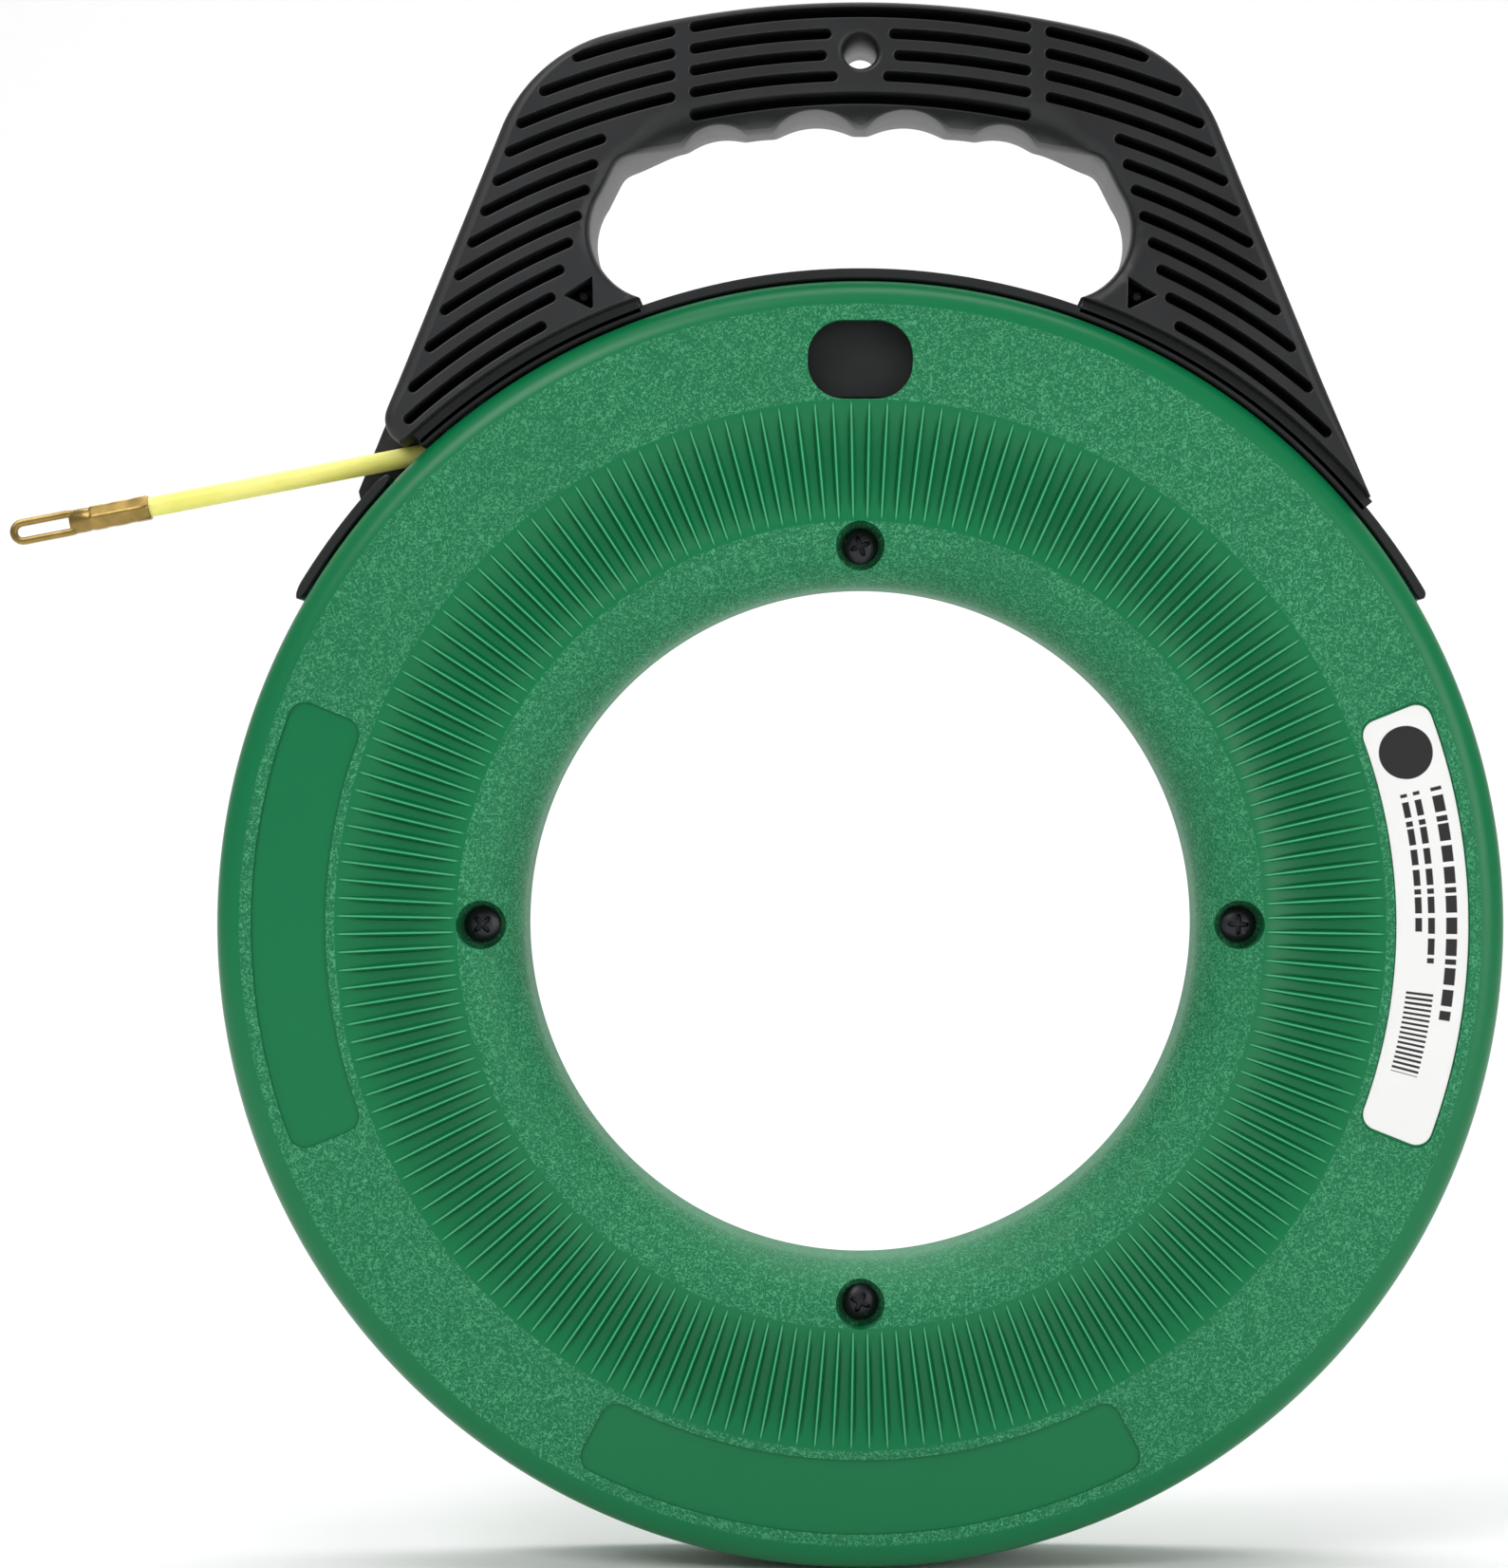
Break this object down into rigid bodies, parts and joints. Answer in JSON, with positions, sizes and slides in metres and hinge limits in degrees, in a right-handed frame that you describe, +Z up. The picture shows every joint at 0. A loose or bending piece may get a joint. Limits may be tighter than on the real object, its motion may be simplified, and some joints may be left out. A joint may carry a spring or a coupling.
{
  "type": "fish tape reel",
  "caption": "Round two-part reel case that turns inside an arched carrying handle and pays out a nylon fish tape with a brass pulling eye.",
  "frame": {"origin": "centre of the hand hole through the hub, on the case's middle plane", "axes": "+Y along the case's axis of turning, away from the front face; +Z up towards the handle; +X to the right as seen from the front"},
  "size_m": [0.3526, 0.044, 0.3659],
  "materials": {
    "case_plastic": "pebbled moulded polypropylene with smooth rim and pads",
    "handle_plastic": "satin black moulded plastic",
    "screw_steel": "black oxide",
    "anchor_steel": "plain",
    "label_vinyl": null,
    "tape_nylon": "translucent yellow nylon",
    "eye_brass": "stamped and crimped"
  },
  "bodies": {
    "handle": {"handle": "handle_plastic"},
    "case": {"front_case": "case_plastic", "rear_case": "case_plastic", "case_screws": "screw_steel", "label": "label_vinyl", "tape_coil": "tape_nylon", "tape_anchor": "anchor_steel"},
    "tape": {"tape_tail": "tape_nylon", "pull_eye": "eye_brass"}
  },
  "joints": [
    {"name": "reel_turn", "type": "hinge", "parent": "handle", "child": "case", "pos_m": [0, 0, 0], "axis": [0, -1, 0], "continuous": true},
    {"name": "tape_pull", "type": "slide", "parent": "handle", "child": "tape", "axis": [-0.9816, 0, -0.1908], "range_m": [-0.045, 0.06]}
  ]
}
